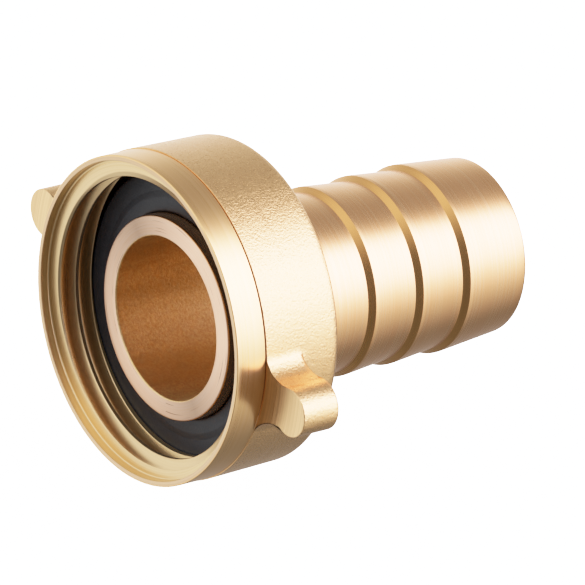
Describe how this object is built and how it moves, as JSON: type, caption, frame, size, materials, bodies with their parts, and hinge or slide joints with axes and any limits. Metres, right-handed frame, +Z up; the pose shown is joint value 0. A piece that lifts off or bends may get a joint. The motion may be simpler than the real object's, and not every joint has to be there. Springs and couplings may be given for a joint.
{
  "type": "barbed hose tail with union nut",
  "caption": "Straight brass hose tail with stepped barbs, a two-lug union nut that turns and slides on it, and a flat gasket held behind the nut's thread.",
  "frame": {"origin": "centre of the union nut's open mouth, on the nut's axis", "axes": "+X along the nut's axis from its mouth towards the barbed end, +Z up, the lugs along Y"},
  "size_m": [0.0444, 0.0482, 0.0355],
  "materials": {
    "tail_brass": "turned, satin",
    "nut_brass": "forged and blasted behind the front, which is turned",
    "gasket_rubber": "matte"
  },
  "bodies": {
    "tail": {"hose_tail": "tail_brass"},
    "seal": {"gasket": "gasket_rubber"},
    "nut": {"union_nut": "nut_brass"}
  },
  "joints": [
    {"name": "nut_shift", "type": "slide", "parent": "tail", "child": "seal", "axis": [1, 0, 0], "range_m": [0, 0.0012]},
    {"name": "nut_turn", "type": "hinge", "parent": "seal", "child": "nut", "pos_m": [0, 0, 0], "axis": [1, 0, 0], "continuous": true}
  ]
}
